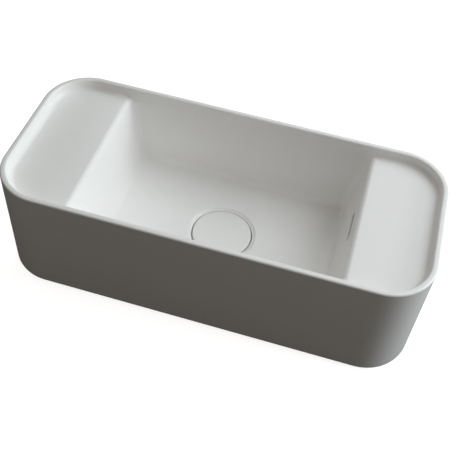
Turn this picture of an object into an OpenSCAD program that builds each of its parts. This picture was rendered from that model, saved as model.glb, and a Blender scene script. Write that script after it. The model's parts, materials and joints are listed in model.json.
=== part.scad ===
// Countertop basin with a pressed open and shut waste. Millimetres, Z up.
// The origin is the middle of the foot ring, on the counter. X runs along the basin, Y to the back.

/* [Basin] */
// Overall length from end to end
basin_l = 480; // [440:5:560]
// Overall width from front to back
basin_w = 211; // [204:1:240]
// Height from the counter to the top of the rim
basin_h = 145.5; // [145:0.5:165]
// Radius of the outline's corners seen from above
corner_r = 54; // [48:1:64]
// Thickness of the round-topped rim
rim_t = 7; // [5.5:0.5:9]
// Thickness of the outer wall under the shelves
wall_t = 9; // [8:0.5:11]
// Radius of the outer edge at the counter
base_r = 7.5; // [4:0.5:9]
// Width of the foot ring, measured in from the outside
foot_w = 18; // [16:1:24]
// Height of the foot ring
foot_h = 12; // [8:1:18]

/* [Shelves and bowl] */
// Drop from the top of the rim to the two end shelves
shelf_drop = 13; // [11:0.5:18]
// Thickness of the shelves
shelf_t = 9.5; // [8:0.5:12]
// Radius of the hollow curve from a shelf up to the rim
cove_r = 7; // [5:0.5:12]
// Radius of the edge between a shelf and the bowl
edge_r = 7; // [3:0.5:8]
// Length of the bowl where its end walls meet the shelves
bowl_l = 298; // [284:2:310]
// Length of the bowl at its floor
bowl_floor_l = 270; // [250:1:278]
// Width of the bowl at its floor
bowl_floor_w = 181; // [170:1:184]
// Depth of the bowl from the top of the rim to the edge of its floor
bowl_depth = 99.5; // [92:0.5:100]
// Radius of the bowl's upright corners
bowl_corner_r = 10; // [8:1:18]
// Radius between the bowl's walls and its floor
bowl_fillet_r = 9; // [7:0.5:14]
// Thickness of the bowl's own wall and floor
bowl_t = 9.5; // [8:0.5:12]
// Fall of the floor from its edge to the waste
floor_fall = 1.5; // [1:0.25:2.5]

/* [Waste recess] */
// Place of the waste's axis, towards the back from the middle
waste_y = 0; // [-6:1:4]
// Diameter of the round recess that the plug lies in
recess_d = 73; // [71:0.5:76]
// Width of the dished ring around the recess
dish_w = 5; // [4:0.5:7]
// Fall of the dished ring
dish_drop = 1.2; // [0.8:0.2:2.4]
// Diameter of the hole for the waste
hole_d = 46; // [45:0.5:47]
// Thickness of the boss that the waste clamps
clamp_t = 15.5; // [15:0.5:16.5]
// Thickness of the ceramic around the recess
boss_wall = 9; // [7:0.5:12]

/* [Overflow] */
// Length of the overflow slot
slot_w = 40; // [30:1:44]
// Height of the overflow slot
slot_h = 9; // [7:0.5:11]
// Place of the slot's middle, towards the back from the middle
slot_y = 5; // [-5:1:8]
// Drop from the top of the rim to the slot's middle
slot_drop = 38; // [34:1:46]
// Room in the duct beside each end of the slot
slot_room = 1; // [0.5:0.5:3]
// Clear depth of the cast duct behind the bowl's end wall
duct_gap = 10; // [8:0.5:12]
// Thickness of the duct's walls
duct_t = 5; // [4:0.5:6]
// Clear width of the duct's run under the floor
run_w = 28; // [22:1:32]
// Clear height of the duct's run under the floor
run_h = 6.5; // [5:0.5:7]

/* [Waste body] */
// Outer diameter of the threaded tail
tail_d = 41.91; // [41:0.01:42.4]
// Inner diameter of the tail
tail_bore_d = 35; // [33:0.5:36]
// Length of the tail below the flange
tail_l = 75; // [65:1:90]
// Diameter of the flange
flange_d = 64; // [60:1:66]
// Depth of the relief groove between the nut's thread and the trap's thread
groove_d = 1.4; // [1:0.1:1.6]
// Width of the relief groove
groove_w = 2; // [1:0.5:4]
// Thickness of the flange
flange_t = 3; // [2.5:0.25:3.5]
// Depth and width of the slanted plug seat in the flange
seat_c = 4; // [3.5:0.25:4.5]
// Width of each overflow window in the tail
window_w = 12; // [8:1:14]
// Thickness of the three arms that carry the cartridge
arm_t = 3; // [2.5:0.25:4]
// Height of the arms and their hub
arm_h = 8; // [6:0.5:9]
// Outer diameter of the hub
hub_d = 19; // [18:0.5:21]
// Depth of the hub's top below the foot of the plug seat
hub_drop = 4.5; // [4:0.5:6]

/* [Seals and nut] */
// Thickness of the seal under the flange
flange_seal_t = 1.5; // [1:0.25:2]
// Outer diameter of the lower seal, slip washer and nut seat
clamp_d = 58; // [54:1:62]
// Thickness of the lower seal's flat part
lower_seal_t = 5; // [4:0.5:6]
// Height of the seal's cone inside the hole
cone_h = 3; // [2:0.5:4]
// Clearance of the seal's cone in the hole
cone_gap = 0.2; // [0.1:0.05:0.3]
// Thickness of the slip washer
washer_t = 1.5; // [1:0.25:2]
// Height of the nut
nut_h = 8; // [7:0.5:9]
// Width of the nut across its flats
nut_flats = 55; // [50:1:60]
// Clearance between the tail and what is threaded or slipped over it
thread_gap = 0.05; // [0.03:0.01:0.1]

/* [Plug] */
// Gap around the plug in its recess
plug_gap = 1.25; // [1:0.25:2.5]
// Height of the plug's top over the lower edge of the dished ring
plug_rise = 0.8; // [0.4:0.2:2]
// Thickness of the ceramic plug
plug_t = 5.5; // [4.5:0.5:6]
// Radius of the plug's upper edge
plug_edge_r = 1.5; // [1:0.25:2]
// Diameter of the bonding pad and the carrier plate
carrier_d = 50; // [46:1:54]
// Thickness of the bonding pad
pad_t = 0.8; // [0.5:0.1:1.2]
// Thickness of the carrier plate
carrier_t = 2; // [1.5:0.25:2.5]
// Diameter of the carrier's spigot that the plug seal sits on
spigot_d = 34; // [32:0.5:35]
// Length of the spigot
spigot_l = 3; // [2.5:0.25:3.5]
// Diameter of the carrier's socket for the plunger
socket_d = 14; // [12:0.5:16]
// Clearance of the closed plug's seal to its seat
seal_gap = 0.3; // [0.25:0.05:0.5]
// Clearance of the closed plug's carrier over the flange
plate_gap = 0.3; // [0.3:0.1:1]
// Clearance of the closed plug's socket over the sleeve's collar
socket_gap = 1.5; // [1:0.25:2]
// Lift of the plug from shut to open
plug_travel = 10; // [8:0.5:10]

/* [Cartridge] */
// Outer diameter of the sleeve
sleeve_d = 15; // [14:0.5:16]
// Diameter of the sleeve's collar on the hub
collar_d = 18; // [17.5:0.5:20]
// Thickness of the collar
collar_t = 1.5; // [1:0.25:2]
// Inner diameter of the sleeve
sleeve_bore_d = 11; // [10.5:0.25:11.5]
// Length of the sleeve below its collar
sleeve_l = 40; // [39:0.5:44]
// Length of the plunger's guide at the sleeve's top
guide_l = 5; // [4:0.25:5]
// Diameter of the plunger
plunger_d = 7; // [6:0.25:7.5]
// Diameter of the plunger's collar and of the index rotor
rotor_d = 10.4; // [9.8:0.1:10.4]
// Height of the plunger's collar
plunger_collar_h = 4; // [3:0.5:5]
// Height of the index rotor
rotor_h = 6; // [5:0.5:7]
// Diameter of the plunger's tip inside the rotor
tip_d = 4.5; // [4:0.25:5]
// Length of the tip below the index rotor
tip_out = 2; // [1:0.5:3]
// Gap from the lifted plunger's collar to its stop
stop_gap = 0.5; // [0.3:0.1:1]
// Running clearance on radius of the plunger and the rotor
run_gap = 0.05; // [0.03:0.01:0.08]
// Thickness of the sleeve's end plug
end_plug_t = 4; // [3:0.5:5]
// Wire diameter of the return spring
spring_wire = 0.8; // [0.6:0.1:1]
// Middle diameter of the return spring
spring_d = 7.6; // [7:0.2:8.4]
// Number of turns of the return spring
spring_turns = 5; // [4:1:6]

/* [Hidden] */

// Bevel on turned edges, and at a thread's end
bevel = 0.8;
thread_end = 1;
// Flat share of a turn at each end of the spring
flat_turn = 0.6;
// Flat ring of floor around the dish, and the corners of the floor and the mouth where they are smallest
floor_land = 1;
min_corner = 4;

// Levels of the basin and the closed plug, from the counter
shelf_z = basin_h - shelf_drop;
rim_z = basin_h - rim_t / 2;
floor_z = basin_h - bowl_depth;
dish_z = floor_z - floor_fall;
recess_lip_z = dish_z - dish_drop;
plug_top = recess_lip_z + plug_rise;
plug_z = plug_top - plug_t;
pad_z = plug_z - pad_t;
carrier_z = pad_z - carrier_t;
recess_z = carrier_z - plate_gap - flange_t - flange_seal_t;
boss_z = recess_z - clamp_t;
slot_z = basin_h - slot_drop;
run_z = boss_z + duct_t;

// Half sizes between the centres of the outline's corners
core_x = basin_l / 2 - corner_r;
core_y = basin_w / 2 - corner_r;
// Rise of the cove up the rim's inside, and the place of its centre, out from a corner's centre
cove_rise = min(cove_r, rim_z - shelf_z);
cove_x = corner_r - rim_t - sqrt(pow(cove_r, 2) - pow(cove_r - cove_rise, 2));

// Slopes of the bowl's end walls and long walls, and how far the long walls shave the rim's inside
shave = 0.05;
end_slope = atan((bowl_l - bowl_floor_l) / 2 / (shelf_z - floor_z));
long_slope = atan((basin_w / 2 - rim_t + shave - bowl_floor_w / 2) / (rim_z - floor_z));
dish_r = recess_d / 2 + dish_w;

// Levels of the waste, from the counter
flange_z = recess_z + flange_seal_t;
flange_top = flange_z + flange_t;
tail_z = flange_z - tail_l;
window_z = run_z - 1;
window_h = run_h + 2;
hub_top = flange_top - seat_c - hub_drop;
arm_z = hub_top - arm_h;
lower_seal_z = boss_z - lower_seal_t;
washer_z = lower_seal_z - washer_t;
nut_z = washer_z - nut_h;
groove_z = nut_z - thread_end / 2;

// Levels of the plug's stem and the cartridge, from the counter
spigot_z = carrier_z - spigot_l;
plunger_top = carrier_z + carrier_t / 2;
collar_top = hub_top + collar_t;
socket_z = collar_top + socket_gap;
sleeve_z = hub_top - sleeve_l;
bore_top = collar_top - guide_l;
plunger_collar_top = bore_top - plug_travel - stop_gap;
rotor_top = plunger_collar_top - plunger_collar_h;
rotor_z = rotor_top - rotor_h;
spring_z = sleeve_z + end_plug_t;

ceramic = "#f2f1ee";
chrome = "#c9ccd0";
rubber = "#2b2b2c";
plastic = "#d9d8d2";

// Half extent of the bowl at height z, offset outward by t, for a wall with the given floor half size
function bowl_half(half_floor, slope, z, t) =
    let (bottom = floor_z - t, r = bowl_fillet_r + t,
         wall = half_floor + (z - floor_z) * tan(slope) + t / cos(slope),
         foot = half_floor - t * tan(slope) + t / cos(slope) - r / tan((90 + slope) / 2),
         up = min(z - bottom, r))
    z < bottom + r * (1 - sin(slope)) ? foot + sqrt(pow(r, 2) - pow(r - up, 2)) : wall;
function end_half(z, t) = bowl_half(bowl_floor_l / 2, end_slope, z, t);
function long_half(z, t) = bowl_half(bowl_floor_w / 2, long_slope, z, t);

// A rounded rectangle at height z, as points that start at the middle of the right-hand side
steps = 8;
side_x = [1, -1, -1, 1];
side_y = [1, 1, -1, -1];
function outline(half_x, half_y, r, z) =
    [for (c = [0:3]) for (i = [0:steps]) let (a = 90 * (c + i / steps))
        [side_x[c] * (half_x - r) + r * cos(a), side_y[c] * (half_y - r) + r * sin(a), z]];
function circle_outline(r, y, z) =
    [for (c = [0:3]) for (i = [0:steps]) let (a = 90 * c + 6 + 78 * i / steps)
        [r * cos(a), y + r * sin(a), z]];

// Outline of the bowl at height z, offset outward by t. The corners shrink along the fillet.
function bowl_outline(z, t) =
    let (x = end_half(z, t), y = min(long_half(z, t), basin_w / 2 - rim_t / 2),
         wall = bowl_floor_l / 2 + (z - floor_z) * tan(end_slope) + t / cos(end_slope))
    outline(x, y, max(bowl_corner_r + t - (wall - x), min_corner), z);
function fillet_levels(t) =
    [for (a = [0:17:85]) floor_z - t + (bowl_fillet_r + t) * (1 - cos(a))];

// A closed solid through a stack of outlines that have the same number of points
module loft(stack) {
    count = len(stack[0]);
    last = len(stack) - 1;
    points = [for (ring = stack) each ring];
    bottom = [[for (i = [0:count - 1]) i]];
    top = [[for (i = [count - 1:-1:0]) last * count + i]];
    sides = [for (k = [0:last - 1]) for (i = [0:count - 1])
        let (a = k * count + i, b = k * count + (i + 1) % count)
        each [[a, a + count, b], [b, a + count, b + count]]];
    polyhedron(points, concat(bottom, top, sides));
}

// Section through the foot, the outer wall, the rim, the cove and a shelf, out from a corner's centre
module wall_section() {
    difference() {
        union() {
            translate([corner_r - wall_t, 0])
                square([wall_t, shelf_z]);
            translate([corner_r - rim_t, shelf_z])
                square([rim_t, rim_z - shelf_z]);
            translate([corner_r - rim_t / 2, rim_z])
                circle(d = rim_t, $fn = 48);
            translate([0, shelf_z - shelf_t])
                square([corner_r - rim_t, shelf_t]);
            cove_section();
            polygon([[corner_r - foot_w, 0], [corner_r, 0], [corner_r, foot_h + foot_w - wall_t],
                     [corner_r - wall_t, foot_h + foot_w - wall_t], [corner_r - foot_w, foot_h]]);
        }
        difference() {
            translate([corner_r - base_r, -1])
                square(base_r + 1);
            translate([corner_r - base_r, base_r])
                circle(r = base_r, $fn = 72);
        }
    }
}

module cove_section() {
    difference() {
        translate([cove_x, shelf_z])
            square([corner_r - rim_t - cove_x, cove_rise]);
        translate([cove_x, shelf_z + cove_r])
            circle(r = cove_r, $fn = 120);
    }
}

// The section carried round the outline: four turned corners and four straight sides
module outer_shell() {
    for (c = [0:3])
        translate([side_x[c] * core_x, side_y[c] * core_y, 0])
            rotate([0, 0, 90 * c])
                rotate_extrude(angle = 90, $fn = 96)
                    wall_section();
    for (turn = [0, 180])
        rotate([0, 0, turn]) {
            translate([-core_x, core_y, 0])
                rotate([90, 0, 90])
                    linear_extrude(2 * core_x)
                        wall_section();
            translate([core_x, core_y, 0])
                rotate([90, 0, 0])
                    linear_extrude(2 * core_y)
                        wall_section();
        }
    translate([-core_x, -core_y, shelf_z - shelf_t])
        cube([2 * core_x, 2 * core_y, shelf_t]);
}

// Outside of the bowl, hidden under the shelves
module bowl_shell() {
    top = shelf_z - shelf_t / 2;
    loft([for (z = concat(fillet_levels(bowl_t), top)) bowl_outline(z, bowl_t)]);
}

// Space inside the bowl: floor with its fall, fillet, walls, the rounded shelf edges and the way up.
// Its upright corners grow tighter along the rounded edges, so that these run out into the cove.
module bowl_space() {
    arc_z = shelf_z - edge_r;
    arc_x = end_half(arc_z + edge_r * sin(end_slope), 0) + edge_r * cos(end_slope);
    edge = [for (i = [0:4]) let (a = end_slope + (90 - end_slope) * i / 4, z = arc_z + edge_r * sin(a))
        outline(arc_x - edge_r * cos(a), long_half(z, 0), bowl_corner_r + (min_corner - bowl_corner_r) * i / 4,
                z + (i == 4 ? shave : 0))];
    loft(concat(
        [circle_outline(dish_r + floor_land, waste_y, dish_z)],
        [for (z = fillet_levels(0)) bowl_outline(z, 0)],
        edge,
        [outline(arc_x, long_half(rim_z, 0), min_corner, rim_z),
         outline(arc_x, long_half(rim_z, 0), min_corner, basin_h + 2)]));
}

// Boss under the floor that the waste clamps
module boss() {
    translate([0, waste_y, boss_z])
        cylinder(d = recess_d + 2 * boss_wall, h = dish_z - boss_z, $fn = 96);
}

// Dished ring, recess and hole, cut from above
module waste_cut() {
    translate([0, waste_y, 0])
        rotate_extrude($fn = 128)
            polygon([[0, boss_z - 1], [hole_d / 2, boss_z - 1], [hole_d / 2, recess_z],
                     [recess_d / 2, recess_z], [recess_d / 2, recess_lip_z], [dish_r, dish_z],
                     [dish_r, dish_z + 1], [0, dish_z + 1]]);
}

// Overflow duct: a shaft behind the right end wall and a run under the floor to the boss
function behind(z, gap) = end_half(floor_z + 40, 0) + (z - floor_z - 40) * tan(end_slope) + gap;
module duct_shaft(low, high, near, far, width) {
    translate([0, slot_y + width / 2, 0])
        rotate([90, 0, 0])
            linear_extrude(width)
                polygon([[behind(low, near), low], [behind(low, far), low],
                         [behind(high, far), high], [behind(high, near), high]]);
}

module duct_body() {
    near = bowl_t - duct_t;
    far = bowl_t + duct_gap + duct_t;
    duct_shaft(run_z - duct_t, shelf_z - shelf_t / 2, near, far,
               slot_w + 2 * slot_room + 2 * duct_t);
    translate([0, waste_y - run_w / 2 - duct_t, run_z - duct_t])
        cube([behind(run_z, far), run_w + 2 * duct_t, dish_z - run_z]);
}

module duct_space() {
    duct_shaft(run_z, slot_z + slot_h / 2 + slot_room, bowl_t, bowl_t + duct_gap, slot_w + 2 * slot_room);
    translate([0, waste_y - run_w / 2, run_z])
        cube([behind(run_z, bowl_t + duct_gap), run_w, run_h]);
}

module overflow_slot() {
    translate([behind(slot_z, -duct_gap), slot_y, slot_z])
        rotate([90, 0, 90])
            linear_extrude(bowl_t + 1.5 * duct_gap)
                union() {
                    square([slot_w - slot_h, slot_h], center = true);
                    for (side = [-1, 1])
                        translate([side * (slot_w - slot_h) / 2, 0])
                            circle(d = slot_h, $fn = 48);
                }
}

// One-piece glazed ceramic basin
module basin() {
    color(ceramic)
        difference() {
            union() {
                outer_shell();
                bowl_shell();
                boss();
                duct_body();
            }
            bowl_space();
            waste_cut();
            duct_space();
            overflow_slot();
        }
}

// Turned ring from radius r_in to r_out
module turned_ring(r_in, r_out, low, high) {
    translate([0, waste_y, 0])
        rotate_extrude($fn = 96)
            translate([r_in, low])
                square([r_out - r_in, high - low]);
}

// Rubber seal between the flange and the floor of the recess
module flange_seal() {
    color(rubber)
        turned_ring(tail_d / 2 + thread_gap, flange_d / 2 - 1, recess_z, flange_z);
}

// Waste with its flange, slanted plug seat, tail with overflow windows, three arms and a hub
module waste_body() {
    bore_r = tail_bore_d / 2;
    tail_r = tail_d / 2;
    color(chrome)
        translate([0, waste_y, 0])
            difference() {
                union() {
                    rotate_extrude($fn = 96)
                        polygon([[bore_r, tail_z], [tail_r - thread_end, tail_z], [tail_r, tail_z + thread_end],
                                 [tail_r, groove_z - groove_w], [tail_r - groove_d, groove_z - groove_w],
                                 [tail_r - groove_d, groove_z], [tail_r, groove_z], [tail_r, flange_z],
                                 [flange_d / 2, flange_z], [flange_d / 2, flange_top - bevel],
                                 [flange_d / 2 - bevel, flange_top], [bore_r + seat_c, flange_top],
                                 [bore_r, flange_top - seat_c]]);
                    for (a = [90, 210, 330])
                        rotate([0, 0, a])
                            translate([hub_d / 2 - 1, -arm_t / 2, arm_z])
                                cube([bore_r - hub_d / 2 + 2, arm_t, arm_h]);
                    translate([0, 0, arm_z])
                        cylinder(d = hub_d, h = arm_h, $fn = 64);
                }
                translate([0, 0, arm_z - 1])
                    cylinder(d = sleeve_d + 2 * thread_gap, h = arm_h + 2, $fn = 64);
                for (a = [30, 150, 270])
                    rotate([0, 0, a])
                        translate([bore_r - 2, -window_w / 2, window_z])
                            cube([tail_r - bore_r + 4, window_w, window_h]);
            }
}

// Rubber seal under the boss, with a cone that enters the hole
module lower_seal() {
    inner = tail_d / 2 + thread_gap;
    color(rubber)
        translate([0, waste_y, 0])
            rotate_extrude($fn = 96)
                polygon([[inner, lower_seal_z], [clamp_d / 2, lower_seal_z],
                         [clamp_d / 2, boss_z - bevel], [clamp_d / 2 - bevel, boss_z],
                         [hole_d / 2 - cone_gap, boss_z], [inner + bevel, boss_z + cone_h],
                         [inner, boss_z + cone_h]]);
}

// Plastic washer that lets the nut turn without dragging the seal
module slip_washer() {
    color(plastic)
        turned_ring(tail_d / 2 + thread_gap, clamp_d / 2, washer_z, lower_seal_z);
}

// Flat brass nut on the tail
module back_nut() {
    color("#c8a65a")
        translate([0, waste_y, nut_z])
            difference() {
                intersection() {
                    cylinder(d = nut_flats / cos(30), h = nut_h, $fn = 6);
                    translate([0, 0, -1])
                        rotate_extrude($fn = 96)
                            polygon([[0, 0], [nut_flats / 2 + 1, 0], [nut_flats / cos(30) / 2, 3],
                                     [nut_flats / cos(30) / 2, nut_h - 1], [nut_flats / 2 + 1, nut_h + 2],
                                     [0, nut_h + 2]]);
                }
                translate([0, 0, -1])
                    cylinder(d = tail_d + 2 * thread_gap, h = nut_h + 2, $fn = 96);
            }
}

// Round ceramic plug that lies in the recess
module plug_cap() {
    r = recess_d / 2 - plug_gap;
    color(ceramic)
        translate([0, waste_y, plug_z])
            rotate_extrude($fn = 128)
                union() {
                    polygon([[0, 0], [r - bevel, 0], [r, bevel], [r, plug_t - plug_edge_r],
                             [r - plug_edge_r, plug_t], [0, plug_t]]);
                    translate([r - plug_edge_r, plug_t - plug_edge_r])
                        circle(r = plug_edge_r, $fn = 48);
                }
}

// Thin pad that bonds the ceramic plug to its carrier
module bond_pad() {
    color(rubber)
        turned_ring(socket_d / 2, carrier_d / 2 - 1, pad_z, plug_z);
}

// Carrier with its plate, the spigot for the seal and the socket for the plunger
module plug_carrier() {
    color(chrome)
        translate([0, waste_y, 0])
            rotate_extrude($fn = 96)
                polygon([[0, plunger_top], [plunger_d / 2 + thread_gap, plunger_top],
                         [plunger_d / 2 + thread_gap, socket_z], [socket_d / 2, socket_z],
                         [socket_d / 2, spigot_z], [spigot_d / 2, spigot_z], [spigot_d / 2, carrier_z],
                         [carrier_d / 2, carrier_z], [carrier_d / 2, pad_z], [0, pad_z]]);
}

// Soft ring that shuts the waste on the slanted seat
module plug_seal() {
    seat = tail_bore_d / 2 - (flange_top - seat_c);
    color(rubber)
        translate([0, waste_y, 0])
            rotate_extrude($fn = 96)
                polygon([[spigot_d / 2, spigot_z], [seat + spigot_z - seal_gap * sqrt(2), spigot_z],
                         [seat + carrier_z - seal_gap * sqrt(2), carrier_z], [spigot_d / 2, carrier_z]]);
}

// Plunger, screwed into the carrier, with its collar and the tip that the rotor turns on
module plunger() {
    color(chrome)
        translate([0, waste_y, 0])
            rotate_extrude($fn = 64)
                polygon([[0, rotor_z - tip_out], [tip_d / 2, rotor_z - tip_out], [tip_d / 2, rotor_top],
                         [rotor_d / 2, rotor_top], [rotor_d / 2, plunger_collar_top],
                         [plunger_d / 2, plunger_collar_top], [plunger_d / 2, plunger_top],
                         [0, plunger_top]]);
}

// Index rotor with four lugs, which turns one step at every press
module index_rotor() {
    color(plastic)
        translate([0, waste_y, rotor_z])
            difference() {
                union() {
                    cylinder(d = rotor_d - 2, h = rotor_h, $fn = 64);
                    intersection() {
                        cylinder(d = rotor_d, h = rotor_h, $fn = 64);
                        for (a = [0, 90])
                            rotate([0, 0, a])
                                translate([-rotor_d, -1.2, 0])
                                    cube([2 * rotor_d, 2.4, rotor_h - 1]);
                    }
                }
                translate([0, 0, -1])
                    cylinder(d = tip_d + 2 * run_gap, h = rotor_h + 2, $fn = 64);
            }
}

// Return spring, one unbroken wire whose end coils lie flat
module return_spring() {
    wire_r = spring_wire / 2;
    low = spring_z + wire_r + run_gap;
    rise = rotor_z - spring_z - spring_wire - 2 * run_gap;
    turn_steps = 16;
    sides = 6;
    color(chrome)
        translate([0, waste_y, 0])
            loft([for (k = [0:turn_steps * spring_turns])
                let (a = 360 * k / turn_steps,
                     share = (k / turn_steps - flat_turn) / (spring_turns - 2 * flat_turn),
                     z = low + rise * min(max(share, 0), 1))
                [for (j = [0:sides - 1])
                    let (b = -360 * j / sides, r = spring_d / 2 + wire_r * cos(b))
                    [r * cos(a), r * sin(a), z + wire_r * sin(b)]]]);
}

// Sleeve that screws into the hub and guides the plunger
module cartridge_sleeve() {
    color(plastic)
        translate([0, waste_y, 0])
            rotate_extrude($fn = 64)
                polygon([[sleeve_bore_d / 2, sleeve_z], [sleeve_d / 2, sleeve_z],
                         [sleeve_d / 2, hub_top], [collar_d / 2, hub_top], [collar_d / 2, collar_top],
                         [plunger_d / 2 + run_gap, collar_top], [plunger_d / 2 + run_gap, bore_top],
                         [sleeve_bore_d / 2, bore_top]]);
}

// Plug that closes the sleeve and carries the spring
module end_plug() {
    color(plastic)
        translate([0, waste_y, sleeve_z])
            cylinder(d = sleeve_bore_d - 2 * thread_gap, h = end_plug_t, $fn = 64);
}

basin();
flange_seal();
waste_body();
lower_seal();
slip_washer();
back_nut();
plug_cap();
bond_pad();
plug_carrier();
plug_seal();
plunger();
index_rotor();
return_spring();
cartridge_sleeve();
end_plug();
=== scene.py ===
"""A ceramic countertop basin with its press waste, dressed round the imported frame.

Sizes in the classes are millimetres from the middle of the foot ring, Z up. A mesh is scaled to metres when
it is finished. In field names l, w, h, t, d, r and z stand for length, width, height, thickness, diameter,
radius and level.
"""

import json
import logging
import math
from collections.abc import Callable
from dataclasses import dataclass
from enum import Enum
from functools import partial
from typing import ClassVar, NamedTuple

import bmesh
import bpy
from bmesh.types import BMEdge, BMesh, BMFace, BMVert
from bpy.types import ID, Material, Mesh, Node, NodeOutputs, NodeSocket, NodeTree, Object
from mathutils import Matrix, Vector

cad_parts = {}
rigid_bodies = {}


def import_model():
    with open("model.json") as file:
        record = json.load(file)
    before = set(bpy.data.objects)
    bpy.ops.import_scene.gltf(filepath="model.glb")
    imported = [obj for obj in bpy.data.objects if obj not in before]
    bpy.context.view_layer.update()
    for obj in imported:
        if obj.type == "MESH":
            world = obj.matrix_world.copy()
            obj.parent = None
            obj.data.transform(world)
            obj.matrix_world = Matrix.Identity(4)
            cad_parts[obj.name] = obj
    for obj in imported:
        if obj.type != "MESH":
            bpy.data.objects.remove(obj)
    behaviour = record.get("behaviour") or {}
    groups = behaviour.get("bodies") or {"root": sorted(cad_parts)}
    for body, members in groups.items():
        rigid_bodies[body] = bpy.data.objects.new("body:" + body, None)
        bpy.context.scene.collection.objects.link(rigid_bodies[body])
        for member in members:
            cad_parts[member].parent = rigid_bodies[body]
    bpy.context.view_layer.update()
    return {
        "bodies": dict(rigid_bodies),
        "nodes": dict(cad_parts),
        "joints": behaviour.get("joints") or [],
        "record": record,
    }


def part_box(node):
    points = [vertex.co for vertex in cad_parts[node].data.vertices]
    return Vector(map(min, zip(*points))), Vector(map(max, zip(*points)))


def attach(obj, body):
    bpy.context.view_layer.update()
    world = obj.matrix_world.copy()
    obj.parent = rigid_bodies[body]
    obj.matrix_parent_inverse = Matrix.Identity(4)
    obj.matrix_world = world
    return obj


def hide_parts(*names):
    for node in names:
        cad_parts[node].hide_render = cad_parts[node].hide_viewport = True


LOG = logging.getLogger("basin")
MM = 0.001
MERGE_GAP = 0.004 * MM
SAME_POINT = 1e-4
PAST = 1.0
BAR_STEPS = 6
SORT_BY = Vector((1.0, 3.1, 7.7))
ROUND_FROM, SHARP_FROM = 35.0, 40.0
FULL_TURN = 2 * math.pi
CENTRE, UPWARD = (0.0, 0.0, 0.0), (0.0, 0.0, 1.0)
WHITE = (1.0, 1.0, 1.0, 1.0)
Profile = list[tuple[float, float]]
Colour = tuple[float, float, float]
Look = tuple[NodeSocket, NodeSocket, NodeSocket]


class Join(Enum):
    """Ways to combine two closed shapes."""

    ADD = "UNION"
    CUT = "DIFFERENCE"
    KEEP = "INTERSECT"


# Shader groups


class Nodes:
    """Short ways to place and link nodes in one tree."""

    def __init__(self, tree: NodeTree) -> None:
        """Takes the tree that the nodes go into."""
        self.tree = tree

    def add(self, kind: str, **values: object) -> Node:
        """Places a node.

        Args:
            kind: the node's type name.
            values: properties, and input sockets by name with spaces as underscores.

        Returns:
            The node.
        """
        node = self.tree.nodes.new(kind)
        for name, value in values.items():
            if hasattr(node, name):
                setattr(node, name, value)
            else:
                self.feed(node, name.replace("_", " "), value)
        return node

    def group(self, kind: "ShaderGroup", **values: object) -> NodeOutputs:
        """Places a shader group with its values, and returns its outputs."""
        return self.add("ShaderNodeGroup", node_tree=kind.tree(), **values).outputs

    def feed(self, node: Node, socket: str | int, value: object) -> None:
        """Sets an input socket, or links it where the value is another node's output."""
        if isinstance(value, NodeSocket):
            self.tree.links.new(value, node.inputs[socket])
        else:
            node.inputs[socket].default_value = value

    def math(self, operation: str, *values: object) -> NodeSocket:
        """The output of a Math node over the values."""
        node = self.tree.nodes.new("ShaderNodeMath")
        node.operation = operation
        for k, value in enumerate(values):
            self.feed(node, k, value)
        return node.outputs[0]

    def mix(self, share: object, first: object, second: object) -> NodeSocket:
        """The output of a colour Mix node."""
        node = self.tree.nodes.new("ShaderNodeMix")
        node.data_type = "RGBA"
        self.feed(node, 0, share)
        self.feed(node, 6, first)
        self.feed(node, 7, second)
        return node.outputs[2]

    def span(self, value: object, low: float, high: float) -> NodeSocket:
        """The output of a Map Range node: where the value lies between two others, from 0 to 1."""
        node = self.tree.nodes.new("ShaderNodeMapRange")
        for k, each in enumerate((value, low, high, 0.0, 1.0)):
            self.feed(node, k, each)
        return node.outputs[0]


class ShaderGroup:
    """A shader node group with named sockets, built when a material first asks for it."""

    name = ""
    inputs: dict[str, object] = {}
    outputs: tuple[str, ...] = ("Mask",)

    def tree(self) -> NodeTree:
        """Builds the group once, and returns the same one after that."""
        if self.name in bpy.data.node_groups:
            return bpy.data.node_groups[self.name]
        tree = bpy.data.node_groups.new(self.name, "ShaderNodeTree")
        for label, value in self.inputs.items():
            kind = "NodeSocketColor" if isinstance(value, tuple) else "NodeSocketFloat"
            tree.interface.new_socket(label, in_out="INPUT", socket_type=kind).default_value = value
        for label in self.outputs:
            kind = "NodeSocketColor" if label == "Color" else "NodeSocketFloat"
            tree.interface.new_socket(label, in_out="OUTPUT", socket_type=kind)
        made = Nodes(tree)
        results = self.results(made, made.add("NodeGroupInput").outputs, made.add("ShaderNodeTexCoord"))
        sink = made.add("NodeGroupOutput")
        for label, value in zip(self.outputs, results):
            made.feed(sink, label, value)
        return tree

    def results(self, made: Nodes, source: NodeOutputs, coords: Node) -> tuple[NodeSocket, ...]:
        """Places the group's nodes.

        Args:
            made: the group's nodes.
            source: the values that come in.
            coords: the node that gives the place on the object.

        Returns:
            The value of each output, in order.
        """
        raise NotImplementedError


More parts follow.
